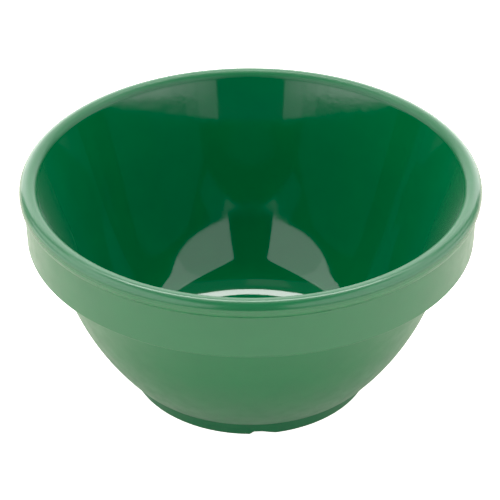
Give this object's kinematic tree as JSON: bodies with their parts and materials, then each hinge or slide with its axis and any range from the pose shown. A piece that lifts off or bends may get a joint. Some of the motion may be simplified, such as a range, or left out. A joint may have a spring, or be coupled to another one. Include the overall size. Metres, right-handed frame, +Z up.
{
  "type": "stackable mixing bowl",
  "caption": "Round open bowl with a beaded rim, an upright stacking band, a tapered curved wall and a notched foot ring; moulded melamine with a glossy inside.",
  "frame": {"origin": "centre of the circle that the foot ring stands on", "axes": "+Z up along the bowl's axis of revolution; -Y is the front, where one drain notch of the foot ring faces"},
  "size_m": [0.1016, 0.1016, 0.0514],
  "materials": {
    "melamine_body": "semi-gloss compression-moulded melamine, green through its thickness",
    "melamine_glaze": "high-gloss green melamine overlay, moulded on"
  },
  "bodies": {
    "root": {"bowl_body": "melamine_body", "inner_glaze": "melamine_glaze"}
  },
  "joints": []
}
